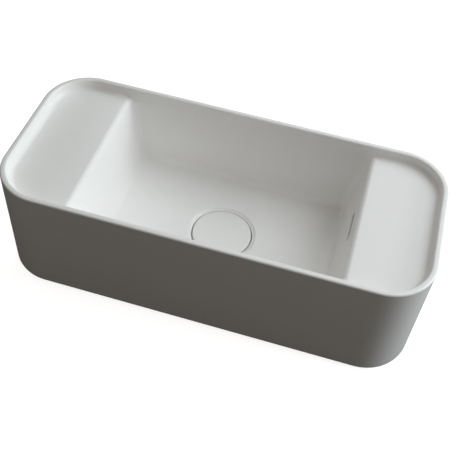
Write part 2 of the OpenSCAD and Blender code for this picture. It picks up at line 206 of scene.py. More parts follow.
class MottleGroup(ShaderGroup):
    """Soft uneven tone and fine pitting, which every fired, moulded or plated surface here has."""

    name = "uneven_surface"
    inputs = {"Light": (0.8, 0.8, 0.8, 1.0), "Dark": (0.7, 0.7, 0.7, 1.0), "Patch size": 0.05,
              "Grain size": 0.002, "Smooth": 0.3, "Dull": 0.4}
    outputs = ("Color", "Roughness", "Height")

    def results(self, made: Nodes, source: NodeOutputs, coords: Node) -> tuple[NodeSocket, ...]:
        """Mixes two tones by a wide noise, and roughness and height by both noises."""
        place = coords.outputs["Object"]
        patch = made.add("ShaderNodeTexNoise", Vector=place, Detail=3.0, Roughness=0.55,
                         Scale=made.math("DIVIDE", 1.0, source["Patch size"])).outputs["Fac"]
        grain = made.add("ShaderNodeTexNoise", Vector=place, Detail=2.0, Roughness=0.5,
                         Scale=made.math("DIVIDE", 1.0, source["Grain size"])).outputs["Fac"]
        share = made.span(patch, 0.3, 0.7)
        spread = made.math("SUBTRACT", source["Dull"], source["Smooth"])
        both = made.math("MULTIPLY_ADD", grain, 0.5, made.math("MULTIPLY", share, 0.5))
        return (made.mix(share, source["Light"], source["Dark"]),
                made.math("ADD", source["Smooth"], made.math("MULTIPLY", both, spread)),
                made.math("MULTIPLY_ADD", patch, 0.7, made.math("MULTIPLY", grain, 0.3)))


class LevelMaskGroup(ShaderGroup):
    """A mask that is 1 below a level, with a soft and slightly wavering edge."""

    name = "below_level"
    inputs = {"Level": 0.0, "Blur": 0.001, "Waver": 0.0005}

    def results(self, made: Nodes, source: NodeOutputs, coords: Node) -> tuple[NodeSocket, ...]:
        """Compares the height with the level, which a noise shifts."""
        place = coords.outputs["Object"]
        apart = made.add("ShaderNodeSeparateXYZ", Vector=place).outputs
        noise = made.add("ShaderNodeTexNoise", Vector=place, Scale=60.0, Detail=2.0)
        shift = made.math("MULTIPLY", made.math("SUBTRACT", noise.outputs["Fac"], 0.5), source["Waver"])
        edge = made.math("ADD", source["Level"], shift)
        depth = made.math("DIVIDE", made.math("SUBTRACT", edge, apart["Z"]), source["Blur"])
        return (made.add("ShaderNodeClamp", Value=made.math("ADD", depth, 0.5)).outputs[0],)


class TurnedMarksGroup(ShaderGroup):
    """Fine rings round the waste's axis, as turning, plating and moulding leave them."""

    name = "turned_marks"
    inputs = {"Spacing": 0.0008}
    outputs = ("Height",)

    def results(self, made: Nodes, source: NodeOutputs, coords: Node) -> tuple[NodeSocket, ...]:
        """A wave over the distance from the axis and the height."""
        apart = made.add("ShaderNodeSeparateXYZ", Vector=coords.outputs["Object"]).outputs
        across, off = (made.math("MULTIPLY", apart[axis], apart[axis]) for axis in ("X", "Y"))
        along = made.math("ADD", made.math("SQRT", made.math("ADD", across, off)), apart["Z"])
        turn = made.math("DIVIDE", made.math("MULTIPLY", along, FULL_TURN), source["Spacing"])
        return (made.math("MULTIPLY_ADD", made.math("SINE", turn), 0.5, 0.5),)


# This mask places the painted shade inside the overflow duct.
class SlopedSlabGroup(ShaderGroup):
    """A mask of a slab that lies behind a sloped wall: behind its face, and within a width and a height."""

    name = "behind_wall"
    inputs = {"Face": 0.1, "Slope": 0.1, "Near": 0.001, "Far": 0.02, "Middle": 0.0, "Half width": 0.02,
              "Top": 0.1, "Blur": 0.001}

    def results(self, made: Nodes, source: NodeOutputs, coords: Node) -> tuple[NodeSocket, ...]:
        """The product of one soft step for each side of the slab."""
        apart = made.add("ShaderNodeSeparateXYZ", Vector=coords.outputs["Object"]).outputs
        face = made.math("MULTIPLY_ADD", apart["Z"], source["Slope"], source["Face"])
        depth = made.math("SUBTRACT", apart["X"], face)
        aside = made.math("ABSOLUTE", made.math("SUBTRACT", apart["Y"], source["Middle"]))
        mask = None
        for low, high in ((source["Near"], depth), (depth, source["Far"]), (aside, source["Half width"]),
                          (apart["Z"], source["Top"])):
            share = made.math("DIVIDE", made.math("SUBTRACT", high, low), source["Blur"])
            share = made.add("ShaderNodeClamp", Value=share).outputs[0]
            mask = share if mask is None else made.math("MULTIPLY", mask, share)
        return (mask,)


# Finishes


@dataclass(frozen=True)
class Finish:
    """What one finish looks like, and the slot of the record that it belongs to."""

    name: str
    slot: str
    light: Colour
    dark: Colour
    smooth: float
    dull: float
    metallic: float = 0.0
    patch: float = 0.05
    grain: float = 0.002
    bump: float = 0.1
    bump_depth: float = 0.0002
    coat: float = 0.0
    coat_roughness: float = 0.1
    rings: float = 0.0
    ring_depth: float = 0.35

    def material(self) -> Material:
        """Builds the finish's material once, and returns the same one after that."""
        if self.name in bpy.data.materials:
            return bpy.data.materials[self.name]
        material = bpy.data.materials.new(self.name)
        material.use_nodes = True
        material.diffuse_color = (*self.light, 1.0)
        made = Nodes(material.node_tree)
        mottle = made.group(MottleGroup(), Light=(*self.light, 1.0), Dark=(*self.dark, 1.0),
                            Patch_size=self.patch, Grain_size=self.grain, Smooth=self.smooth, Dull=self.dull)
        colour, roughness, height = self.look(made, mottle)
        bump = made.add("ShaderNodeBump", Height=height, Strength=self.bump, Distance=self.bump_depth)
        surface = material.node_tree.nodes["Principled BSDF"]
        for socket, value in {"Base Color": colour, "Roughness": roughness, "Normal": bump.outputs["Normal"],
                              "Metallic": self.metallic, "Coat Weight": self.coat,
                              "Coat Roughness": self.coat_roughness}.items():
            made.feed(surface, socket, value)
        return material

    def look(self, made: Nodes, mottle: NodeOutputs) -> Look:
        """The colour, roughness and height of a plain finish.

        Args:
            made: the material's nodes.
            mottle: what the group of uneven tone puts out.

        Returns:
            The three values.
        """
        height = mottle["Height"]
        if self.rings:
            marks = made.group(TurnedMarksGroup(), Spacing=self.rings)
            height = made.math("MULTIPLY_ADD", marks["Height"], self.ring_depth, height)
        return mottle["Color"], mottle["Roughness"], height


@dataclass(frozen=True)
class GlazeFinish(Finish):
    """White glaze over a fired body, left bare on the ground face of the foot ring, and darkened inside the
    overflow duct as painted shade.
    """

    bare: Colour = (0.7, 0.66, 0.6)
    bare_level: float = 0.0006
    bare_blur: float = 0.0008
    bare_rough: float = 0.45
    # The duct colour is painted shade: a dark tone on the inside of the overflow duct, where shade falls. The
    # box below is where that painted shade lies behind the end wall.
    duct: Colour = (0.3, 0.28, 0.25)
    duct_shade_box: tuple[tuple[str, float], ...] = (("Face", 0.12755), ("Slope", 0.16185), ("Near", 0.0004),
                                               ("Far", 0.0215), ("Middle", 0.005), ("Half width", 0.0225),
                                               ("Top", 0.115), ("Blur", 0.0015))

    def look(self, made: Nodes, mottle: NodeOutputs) -> Look:
        """The glaze, with painted shade in the duct, and the bare body below the level where the foot is
        ground.
        """
        bare = made.group(LevelMaskGroup(), Level=self.bare_level, Blur=self.bare_blur,
                          Waver=self.bare_blur)["Mask"]
        # Painted shade: the dark duct colour is mixed in behind the end wall, inside the slot and the shaft.
        inside = made.group(SlopedSlabGroup(), **dict(self.duct_shade_box))["Mask"]
        colour = made.mix(inside, mottle["Color"], (*self.duct, 1.0))
        return (made.mix(bare, colour, (*self.bare, 1.0)),
                made.math("MULTIPLY_ADD", bare, self.bare_rough, mottle["Roughness"]), mottle["Height"])


GLAZE = GlazeFinish("satin_white_glaze", "glaze", (0.942, 0.926, 0.914), (0.922, 0.906, 0.889), 0.34, 0.42,
                    patch=0.06, grain=0.0022, bump=0.12, bump_depth=0.0003, coat=0.12, coat_roughness=0.22)
CHROME = Finish("polished_plate", "chrome", (0.82, 0.83, 0.84), (0.74, 0.75, 0.77), 0.05, 0.14, metallic=1.0,
                patch=0.02, grain=0.0012, bump=0.05, bump_depth=0.00005, rings=0.0006)
RUBBER = Finish("moulded_rubber", "rubber", (0.035, 0.035, 0.036), (0.02, 0.02, 0.021), 0.6, 0.8, patch=0.012,
                grain=0.0009, bump=0.3, bump_depth=0.0001)
PLASTIC = Finish("moulded_plastic", "plastic", (0.76, 0.76, 0.73), (0.7, 0.7, 0.66), 0.38, 0.52, patch=0.015,
                 grain=0.001, bump=0.2, bump_depth=0.00008, rings=0.0011)
BRASS = Finish("turned_brass", "brass", (0.68, 0.49, 0.22), (0.52, 0.36, 0.15), 0.24, 0.4, metallic=1.0,
               patch=0.012, grain=0.0008, bump=0.25, bump_depth=0.00008, rings=0.0007)
STEEL = Finish("drawn_steel", "steel", (0.6, 0.61, 0.62), (0.5, 0.51, 0.52), 0.22, 0.36, metallic=1.0,
               patch=0.006, grain=0.0005, bump=0.15, bump_depth=0.00004, rings=0.0005)
FINISHES = (GLAZE, CHROME, RUBBER, PLASTIC, BRASS, STEEL)


# Mesh helpers


def rounded_face(bm: BMesh, half_x: float, half_y: float, radius: float, level: float,
                 segments: int) -> BMFace:
    """Adds a flat rounded rectangle.

    Args:
        bm: the mesh that it goes into.
        half_x: half its length.
        half_y: half its width.
        radius: its corner radius.
        level: its height.
        segments: segments in each corner.

    Returns:
        The face.
    """
    before = set(bm.faces)
    corners = list(bmesh.ops.create_grid(bm, x_segments=1, y_segments=1, size=1.0)["verts"])
    bmesh.ops.scale(bm, vec=(half_x, half_y, 1.0), verts=corners)
    bmesh.ops.translate(bm, vec=(0.0, 0.0, level), verts=corners)
    bmesh.ops.bevel(bm, geom=corners, offset=radius, offset_type="OFFSET", segments=segments, profile=0.5,
                    affect="VERTICES", clamp_overlap=False, material=-1)
    return next(f for f in bm.faces if f not in before)


def bridge_faces(bm: BMesh, faces: list[BMFace]) -> None:
    """Joins a stack of faces with side walls, and keeps only the first and last as caps."""
    rims = [list(f.edges) for f in faces]
    bmesh.ops.delete(bm, geom=faces[1:-1], context="FACES_ONLY")
    for low, high in zip(rims, rims[1:]):
        bmesh.ops.bridge_loops(bm, edges=low + high)


def arc(cx: float, cz: float, radius: float, start: float, end: float, count: int) -> Profile:
    """Points along an arc in degrees, both ends included."""
    turns = [math.radians(start + (end - start) * k / count) for k in range(count + 1)]
    return [(cx + radius * math.cos(t), cz + radius * math.sin(t)) for t in turns]


def washer(inner: float, outer: float, low: float, high: float) -> Profile:
    """The section of a flat ring, or of a disc where the inner radius is 0."""
    return [(inner, low), (outer, low), (outer, high), (inner, high)]


def eased(points: Profile, radius: float, count: int = 3) -> Profile:
    """Rounds the corners of a closed profile, apart from those on the axis.

    Args:
        points: the profile's corners as radius and height.
        radius: the radius of each rounded corner.
        count: steps in each rounding.

    Returns:
        The rounded profile.
    """
    out: Profile = []
    on_axis, straight, share = 1e-6, math.radians(172), 0.45
    for k, point in enumerate(points):
        here = Vector(point)
        back, ahead = Vector(points[k - 1]) - here, Vector(points[(k + 1) % len(points)]) - here
        if here.x < on_axis or back.angle(ahead) > straight:
            out.append(point)
            continue
        half = back.angle(ahead) / 2
        trim = min(radius / math.tan(half), share * back.length, share * ahead.length)
        reach = trim * math.tan(half)
        middle = here + (back.normalized() + ahead.normalized()).normalized() * (reach / math.sin(half))
        start, end = here + back.normalized() * trim - middle, here + ahead.normalized() * trim - middle
        out += [(middle + start.lerp(end, j / count).normalized() * reach)[:] for j in range(count + 1)]
    return out


def new_object(name: str, data: ID) -> Object:
    """Puts a new object with its data into the scene."""
    thing = bpy.data.objects.new(name, data)
    bpy.context.scene.collection.objects.link(thing)
    return thing


def mesh_object(bm: BMesh, name: str, sharp: float | None = None) -> Object:
    """Turns a mesh in millimetres into an object in metres.

    Args:
        bm: the mesh, which is freed.
        name: the object's name.
        sharp: the angle in degrees from which an edge stays sharp, or None for no smoothing.

    Returns:
        The object, in the scene.
    """
    bmesh.ops.remove_doubles(bm, verts=bm.verts, dist=SAME_POINT)
    bmesh.ops.recalc_face_normals(bm, faces=bm.faces)
    bmesh.ops.scale(bm, vec=(MM, MM, MM), verts=bm.verts)
    mesh = bpy.data.meshes.new(name)
    bm.to_mesh(mesh)
    bm.free()
    thing = new_object(name, mesh)
    if sharp is not None:
        smooth(mesh, sharp)
    return thing


def smooth(mesh: Mesh, sharp: float) -> None:
    """Shades a mesh smooth, apart from edges at or over an angle in degrees."""
    mesh.shade_smooth()
    mesh.set_sharp_from_angle(angle=math.radians(sharp))


def settle(thing: Object) -> None:
    """Applies an object's modifiers to its mesh."""
    evaluated = thing.evaluated_get(bpy.context.evaluated_depsgraph_get())
    mesh = bpy.data.meshes.new_from_object(evaluated)
    old = thing.data
    thing.modifiers.clear()
    thing.data = mesh
    mesh.name = thing.name
    bpy.data.meshes.remove(old)


def drop(thing: Object) -> None:
    """Removes an object and its mesh."""
    mesh = thing.data
    bpy.data.objects.remove(thing)
    bpy.data.meshes.remove(mesh)


def tidy_mesh(mesh: Mesh) -> None:
    """Merges vertices that lie on each other, takes out faces without area and shades the mesh again.

    The vertices are sorted by place first, so that each run merges the same ones.

    Args:
        mesh: the mesh, in metres.
    """
    bm = bmesh.new()
    bm.from_mesh(mesh)
    bm.verts.sort(key=lambda v: v.co.dot(SORT_BY))
    bmesh.ops.remove_doubles(bm, verts=bm.verts, dist=MERGE_GAP)
    bmesh.ops.dissolve_degenerate(bm, dist=MERGE_GAP, edges=bm.edges)
    bm.to_mesh(mesh)
    bm.free()
    smooth(mesh, SHARP_FROM)


def combine(base: Object, tool: Object, join: Join) -> None:
    """Adds a closed shape to another or cuts it away, and removes the tool."""
    step = base.modifiers.new("join", "BOOLEAN")
    step.operation = join.value
    step.solver = "EXACT"
    step.object = tool
    settle(base)
    drop(tool)


def turned(name: str, profile: Profile, steps: int, soft: float = 0.0,
           sharp: float | None = ROUND_FROM) -> Object:
    """A closed piece turned about the waste's axis, which is the Z axis.

    Args:
        name: the object's name.
        profile: points of radius and height. One that keeps off the axis is closed into a ring.
        steps: steps in the full turn.
        soft: radius of the profile's corners.
        sharp: the angle in degrees from which an edge stays sharp, or None for no smoothing.

    Returns:
        The piece.
    """
    bm = bmesh.new()
    profile = eased(profile, soft) if soft else profile
    verts = [bm.verts.new((radius, 0.0, height)) for radius, height in profile]
    pairs = list(zip(verts, verts[1:]))
    if min(radius for radius, _ in profile) > 0:
        pairs.append((verts[-1], verts[0]))
    edges = [bm.edges.new(pair) for pair in pairs]
    bmesh.ops.spin(bm, geom=verts + edges, cent=CENTRE, axis=UPWARD, dvec=CENTRE, angle=FULL_TURN,
                   steps=steps, use_merge=True, use_duplicate=False)
    bmesh.ops.remove_doubles(bm, verts=bm.verts, dist=SAME_POINT)
    return mesh_object(bm, name, sharp)


def about_axis(bm: BMesh, angle: float) -> None:
    """Turns a whole mesh about the waste's axis by an angle in degrees."""
    turn = Matrix.Rotation(math.radians(angle), 3, "Z")
    bmesh.ops.rotate(bm, cent=CENTRE, matrix=turn, verts=bm.verts)


def bar(name: str, half_w: float, low: float, high: float, radius: float, near: float, far: float,
        turn: float = 0.0, side: float = 0.0) -> Object:
    """A bar with rounded long edges that points away from the waste's axis.

    Args:
        name: the object's name.
        half_w: half its width.
        low: its lowest level.
        high: its highest level.
        radius: radius of its long edges.
        near: how far from the axis it starts.
        far: how far from the axis it ends.
        turn: the direction that it points in, in degrees from +X.
        side: how far it stands to the left of that direction.

    Returns:
        The bar.
    """
    bm = bmesh.new()
    face = rounded_face(bm, half_w, (high - low) / 2, radius, 0.0, BAR_STEPS)
    upright = Matrix.Rotation(math.radians(90), 4, "Z") @ Matrix.Rotation(math.radians(90), 4, "X")
    place = Matrix.Translation((near, side, (low + high) / 2))
    bmesh.ops.transform(bm, matrix=place @ upright, verts=bm.verts)
    made = bmesh.ops.extrude_face_region(bm, geom=[face])["geom"]
    ends = [g for g in made if isinstance(g, BMVert)]
    bmesh.ops.translate(bm, vec=(far - near, 0.0, 0.0), verts=ends)
    about_axis(bm, turn)
    return mesh_object(bm, name)


def combine_round(base: Object, join: Join, start: float, count: int, name: str, *sizes: float) -> None:
    """Combines bars of one size with a piece, in even steps about the waste's axis.

    Args:
        base: the piece.
        join: whether the bars are added or cut away.
        start: the direction of the first bar, in degrees from +X.
        count: how many bars there are.
        name: the name of each bar.
        sizes: the sizes of a bar, from half its width to how far from the axis it ends.
    """
    for k in range(count):
        combine(base, bar(name, *sizes, turn=start + 360.0 * k / count), join)


def absorb(base: Object, extra: Object) -> None:
    """Takes another object's closed shells into an object's mesh, and removes the other object."""
    bm = bmesh.new()
    bm.from_mesh(base.data)
    bm.from_mesh(extra.data)
    bm.to_mesh(base.data)
    bm.free()
    drop(extra)


def ease_edges(thing: Object, width: float, angle: float, segments: int = 2) -> None:
    """Rounds the edges that are sharper than an angle, and shades the piece smooth.

    Args:
        thing: the piece.
        width: width of each rounding in millimetres.
        angle: the angle in degrees from which an edge is rounded.
        segments: steps in each rounding.
    """
    step = thing.modifiers.new("ease", "BEVEL")
    step.limit_method = "ANGLE"
    step.angle_limit = math.radians(angle)
    step.width = width * MM
    step.segments = segments
    step.profile = 0.5
    step.use_clamp_overlap = True
    settle(thing)
    smooth(thing.data, SHARP_FROM)


# The basin's neighbours: what the frame says of each node


class Place(NamedTuple):
    """Where a turned node lies: its outer radius and its lowest and highest level, in millimetres."""

    radius: float
    low: float
    high: float


class Plan:
    """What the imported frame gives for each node: its place, its finish and its body."""

    def __init__(self, frame: dict) -> None:
        """Reads the slots and the bodies from the frame's record."""
        record = frame["record"]
        self.nodes = frame["nodes"]
        self.slots = {part["node"]: part["material_slot"] for part in record["subparts"]}
        self.bodies = {node: body for body, nodes in record["behaviour"]["bodies"].items() for node in nodes}
        self.finishes = {finish.slot: finish for finish in FINISHES}

    def place(self, node: str) -> Place:
        """The radius and the levels of a node that is turned about the waste's axis."""
        low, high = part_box(node)
        return Place((high[1] - low[1]) / 2 / MM, low[2] / MM, high[2] / MM)

    def dress(self, thing: Object, node: str) -> None:
        """Gives a piece the finish and the body of the node that it replaces."""
        finish = self.finishes[self.slots[node]]
        thing.data.materials.clear()
        thing.data.materials.append(finish.material())
        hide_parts(node)
        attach(thing, self.bodies[node])
        LOG.info("%s: %s, %d faces", thing.name, finish.name, len(thing.data.polygons))

    def build(self, shapes: dict[str, Callable[[Place], Object]]) -> None:
        """Builds and dresses turned pieces in order, each from the place of the node that it replaces."""
        for node, shape in shapes.items():
            self.dress(shape(self.place(node)), node)

    def keep(self, node: str) -> None:
        """Keeps a node's own solid and gives it its finish."""
        finish = self.finishes[self.slots[node]]
        solid = self.nodes[node]
        solid.data.materials.clear()
        solid.data.materials.append(finish.material())
        LOG.info("%s: its own solid in %s", node, finish.name)


# The basin


@dataclass
class CeramicBasin:
    """The fired body: outer wall and rim, two shelves, the bowl, the boss and the overflow duct."""

    length: float = 480.0
    width: float = 211.0
    height: float = 145.5
    corner: float = 54.0
    rim: float = 7.0
    wall: float = 9.0
    base: float = 7.5
    foot_w: float = 18.0
    foot_h: float = 12.0
    shelf_drop: float = 13.0
    shelf_t: float = 9.5
    cove: float = 7.0
    edge: float = 7.0
    floor_l: float = 270.0
    floor_w: float = 181.0
    mouth_l: float = 298.0
    depth: float = 99.5
    bowl_corner: float = 10.0
    min_corner: float = 4.0
    fillet: float = 9.0
    bowl_t: float = 9.5
    fall: float = 1.5  # how far the floor falls to the dish
    recess_d: float = 73.0
    dish_w: float = 5.0
    dish_drop: float = 2.0
    dish_flat: float = 0.2  # share of the dish's width that lies level at its lip
    dish_over: float = 0.03  # how far the dish's edge is cut over the floor
    dish_steps: int = 14
    headroom: float = 6.0  # how far the waste's cut reaches over the dish
    lip_r: float = 0.7
    recess_z: float = 31.0
    hole_d: float = 46.0
    boss_z: float = 15.5
    boss_wall: float = 9.0
    boss_drop: float = 0.5  # how far the boss ends under the dish
    slot_w: float = 40.0
    slot_h: float = 9.0
    slot_y: float = 5.0
    slot_drop: float = 38.0
    duct_gap: float = 10.0  # the shaft's depth behind the wall
    duct_t: float = 5.0
    run_w: float = 28.0
    run_h: float = 6.5
    run_lift: float = 0.4  # how far the run's body is raised into the floor
    run_back: float = 0.1  # how far the run ends short of the shaft's back
    lip: float = 2.3
    softening: float = 1.1  # width of the rounding that the glaze gives to edges
    soft_from: float = 38.0
    slot_soft_from: float = 60.0
    run_out: float = 16.0  # how far along X each end of the bowl runs out up the cove
    run_dip: float = 0.12  # share of the run-out by which it starts inside the mouth
    draw_in: float = 2.0  # how far the last outline is drawn in over the rim
    air: float = 3.0  # how far the bowl's space reaches over the rim
    overlap: float = 0.02  # between shapes that share a face
    steps: int = 20
    outline_steps: int = 26
    soft_steps: int = 3
    lip_steps: int = 5
    arc_steps: int = 10
    cove_steps: int = 12
    boss_steps: int = 128
    waste_steps: int = 160
    FILLET_TURNS: ClassVar = range(0, 88, 7)
    FLOOR_SHARES: ClassVar = (0.0, 0.12, 0.3, 0.5, 0.7, 0.88)
    COVE_SHARES: ClassVar = (0.06, 0.14, 0.26, 0.42, 0.66, 1.0)

    def __post_init__(self) -> None:
        """Works out the levels and slopes that the methods share."""
        self.shelf_z = self.height - self.shelf_drop
        self.rim_z = self.height - self.rim / 2
        self.floor_z = self.height - self.depth
        self.dish_z = self.floor_z - self.fall
        self.dish_r = self.recess_d / 2 + self.dish_w
        self.slot_z = self.height - self.slot_drop
        self.run_z = self.boss_z + self.duct_t
        self.end_tilt = math.atan((self.mouth_l - self.floor_l) / 2 / (self.shelf_z - self.floor_z))
        reach = self.width / 2 - self.rim + self.overlap - self.floor_w / 2
        self.long_tilt = math.atan(reach / (self.rim_z - self.floor_z))

    def shell_profile(self) -> Profile:
        """The section through shelf, cove, rim, wall and foot, as inset from the outline and height."""
        rise, lip, top = min(self.rim_z - self.shelf_z, self.cove), self.lip, self.height - self.lip
        reach = math.sqrt(self.cove ** 2 - (self.cove - rise) ** 2)
        start = math.degrees(math.asin((self.cove - rise) / self.cove))
        return [*arc(self.rim + reach, self.shelf_z + self.cove, self.cove, 270.0, 180.0 + start,
                     self.cove_steps),
                *arc(self.rim - lip, top, lip, 0.0, 90.0, self.arc_steps),
                *arc(lip, top, lip, 90.0, 180.0, self.arc_steps),
                *arc(self.base, self.base, self.base, 180.0, 270.0, self.arc_steps),
                (self.foot_w, 0.0), (self.foot_w, self.foot_h),
                (self.wall, self.foot_h + self.foot_w - self.wall), (self.wall, self.shelf_z - self.shelf_t)]

    def shell(self) -> Object:
        """Carries the section round the outline, and closes it under and over the shelves."""
        bm = bmesh.new()
        profile = self.shell_profile()
        ring = rounded_face(bm, self.length / 2, self.width / 2, self.corner, profile[0][1],
                            self.outline_steps)
        core = Vector((self.length / 2 - self.corner, self.width / 2 - self.corner))
        outward = {v: Vector((v.co.x - max(-core.x, min(core.x, v.co.x)),
                              v.co.y - max(-core.y, min(core.y, v.co.y)))) / self.corner for v in ring.verts}
        edges = list(ring.edges)
        for v, out in outward.items():
            v.co.xy -= out * profile[0][0]
        for (was, _), (inset, level) in zip(profile, profile[1:]):
            made = bmesh.ops.extrude_edge_only(bm, edges=edges)["geom"]
            moved = {}
            for v in (g for g in made if isinstance(g, BMVert)):
                base = min((e.other_vert(v) for e in v.link_edges if e.other_vert(v) in outward),
                           key=lambda w: (w.co - v.co).length_squared)
                moved[v] = outward[base]
                v.co.xy = base.co.xy + outward[base] * (was - inset)
                v.co.z = level
            outward = moved
            edges = [g for g in made if isinstance(g, BMEdge) and all(v in moved for v in g.verts)]
        bmesh.ops.contextual_create(bm, geom=edges)
        return mesh_object(bm, "ceramic_basin")

    def half(self, floor: float, tilt: float, level: float, out: float) -> float:
        """Half extent of the bowl at a level, moved out from its inner face."""
        bottom, radius = self.floor_z - out, self.fillet + out
        plane = floor / 2 + (level - self.floor_z) * math.tan(tilt) + out / math.cos(tilt)
        foot = (floor / 2 - out * math.tan(tilt) + out / math.cos(tilt)
                - radius / math.tan((math.pi / 2 + tilt) / 2))
        up = min(level - bottom, radius)
        if level < bottom + radius * (1 - math.sin(tilt)):
            return foot + math.sqrt(max(radius ** 2 - (radius - up) ** 2, 0.0))
        return plane

    def bowl_ring(self, bm: BMesh, level: float, out: float) -> BMFace:
        """The bowl's outline at a level, moved out from its inner face."""
        x = self.half(self.floor_l, self.end_tilt, level, out)
        y = min(self.half(self.floor_w, self.long_tilt, level, out), self.width / 2 - self.rim / 2)
        corner = self.bowl_corner + out - (self.wall_x(level) + out / math.cos(self.end_tilt) - x)
        return rounded_face(bm, x, y, max(corner, self.min_corner), level, self.steps)

    def fillet_levels(self, out: float) -> list[float]:
        """Heights up the fillet between the floor and the walls."""
        radius = self.fillet + out
        return [self.floor_z - out + radius * (1 - math.cos(math.radians(a))) for a in self.FILLET_TURNS]

    def bowl_outside(self) -> Object:
        """The outside of the bowl under the shelves."""
        bm = bmesh.new()
        levels = self.fillet_levels(self.bowl_t) + [self.shelf_z - self.shelf_t / 2]
        bridge_faces(bm, [self.bowl_ring(bm, z, self.bowl_t) for z in levels])
        return mesh_object(bm, "bowl_outside")

    def floor_rings(self, bm: BMesh) -> list[BMFace]:
        """Outlines up the floor's fall, from a circle round the dish to just inside the fillet's foot."""
        inner = self.dish_r + PAST
        outer_x = self.half(self.floor_l, self.end_tilt, self.floor_z, 0.0)
        outer_y = self.half(self.floor_w, self.long_tilt, self.floor_z, 0.0)
        return [rounded_face(bm, inner + (outer_x - inner) * share, inner + (outer_y - inner) * share,
                             (inner - self.overlap) + (self.min_corner - inner) * share,
                             self.dish_z + self.fall * share, self.steps) for share in self.FLOOR_SHARES]

    def bowl_space(self) -> Object:
        """The space in the bowl, from the edge of its floor up to the rounded edges of the shelves."""
        bm = bmesh.new()
        arc_z = self.shelf_z - self.edge
        lean = math.degrees(self.end_tilt)
        mouth = (self.half(self.floor_l, self.end_tilt, arc_z + self.edge * math.sin(self.end_tilt), 0.0)
                 + self.edge * math.cos(self.end_tilt))
        rings = self.floor_rings(bm) + [self.bowl_ring(bm, z, 0.0) for z in self.fillet_levels(0.0)]
        for k in range(self.arc_steps + 1):
            share = k / self.arc_steps
            turn = math.radians(lean + (90 - lean) * share)
            level = arc_z + self.edge * math.sin(turn)
            y = self.half(self.floor_w, self.long_tilt, level, 0.0)
            corner = self.bowl_corner + (self.min_corner - self.bowl_corner) * share
            rings.append(rounded_face(bm, mouth - self.edge * math.cos(turn), y, corner,
                                      level + (self.overlap if share == 1 else 0.0), self.steps))
        for share in self.COVE_SHARES:
            level = self.shelf_z + (self.rim_z - self.shelf_z) * share
            x = mouth + self.run_out * math.sqrt(share) - self.run_dip * self.run_out * (1 - share)
            y = self.half(self.floor_w, self.long_tilt, level, 0.0)
            rings.append(rounded_face(bm, x, y, self.min_corner, level, self.steps))
        top = self.half(self.floor_w, self.long_tilt, self.rim_z, 0.0)
        rings.append(rounded_face(bm, mouth + self.run_out, top - self.draw_in, self.min_corner,
                                  self.height + self.air, self.steps))
        bridge_faces(bm, rings)
        return mesh_object(bm, "bowl_space")

    def wall_x(self, level: float) -> float:
        """How far along X the face of the bowl's end wall lies at a level."""
        return self.floor_l / 2 + (level - self.floor_z) * math.tan(self.end_tilt)

    def duct_block(self, name: str, low: float, high: float, near: float | None, far: float,
                   half_w: float) -> Object:
        """A block of the overflow's shaft along the back of the end wall, or of its run under the floor.

        Args:
            name: the object's name.
            low: its lowest level.
            high: its highest level.
            near: how far behind the bowl's face the shaft starts, or None for a run from the waste's axis.
            far: how far behind the face the shaft ends, or how far from the axis the run ends.
            half_w: half its width.

        Returns:
            The block.
        """
        bm = bmesh.new()
        bmesh.ops.create_cube(bm, size=2.0)
        for v in bm.verts:
            level = high if v.co.z > 0 else low
            if near is None:
                x, middle = far if v.co.x > 0 else 0.0, 0.0
            else:
                x, middle = self.wall_x(level) + (far if v.co.x > 0 else near), self.slot_y
            v.co = Vector((x, middle + half_w * v.co.y, level))
        return mesh_object(bm, name)

    def build(self, plan: Plan) -> None:
        """Builds the basin from its shapes, softens its edges as glaze does, and dresses it."""
        basin, block = self.shell(), self.duct_block
        boss = washer(0.0, self.recess_d / 2 + self.boss_wall, self.boss_z, self.dish_z - self.boss_drop)
        low, gap = self.run_z - self.duct_t, self.bowl_t + self.duct_gap
        wide, foot = self.slot_w / 2 + PAST, self.wall_x(self.run_z) - self.run_back
        far, half_run, half_h = gap + self.duct_t, self.run_w / 2, self.slot_h / 2
        top, floor = self.shelf_z - self.shelf_t / 2, self.dish_z - self.duct_t + self.run_lift
        added = (self.bowl_outside(), turned("boss", boss, self.boss_steps, sharp=None),
                 block("shaft_body", low, top, self.bowl_t - self.duct_t, far, wide + self.duct_t),
                 block("run_body", low, floor, None, foot + far, half_run + self.duct_t))
        taken = (self.bowl_space(), turned("waste_cut", self.waste_section(), self.waste_steps, sharp=None),
                 block("shaft_space", self.run_z, self.slot_z + half_h + PAST, self.bowl_t, gap, wide),
                 block("run_space", self.run_z, self.run_z + self.run_h, None, foot + gap, half_run))
        for shapes, join in ((added, Join.ADD), (taken, Join.CUT)):
            for shape in shapes:
                combine(basin, shape, join)
        face = self.wall_x(self.slot_z)
        slot = bar("slot", self.slot_w / 2, self.slot_z - half_h, self.slot_z + half_h,
                   half_h - self.overlap / 2, face - self.duct_gap, face + self.bowl_t + self.duct_gap / 2,
                   side=self.slot_y)
        ease_edges(basin, self.softening, self.soft_from, self.soft_steps)
        combine(basin, slot, Join.CUT)
        ease_edges(basin, self.softening / 2, self.slot_soft_from)
        tidy_mesh(basin.data)
        plan.dress(basin, "basin")

    def waste_section(self) -> Profile:
        """The section that is cut for the waste: hole, recess, and the dish that runs out into the floor."""
        lip, rim, flat = self.dish_z - self.dish_drop, self.recess_d / 2, self.dish_flat * self.dish_w
        hole, above, under = self.hole_d / 2, self.dish_z + self.headroom, self.boss_z - PAST
        dish = []
        for k in range(self.dish_steps + 1):
            share = k / self.dish_steps
            rise = (self.dish_drop + self.dish_over) * (1 - math.cos(math.pi * share)) / 2
            dish.append((rim + flat + (self.dish_w - flat) * share, lip + rise))
        return [(0.0, under), (hole, under), (hole, self.recess_z), (rim, self.recess_z),
                *arc(rim + self.lip_r, lip - self.lip_r, self.lip_r, 180.0, 90.0, self.lip_steps), *dish,
                (rim + self.dish_w, above), (0.0, above)]


# The fixed waste


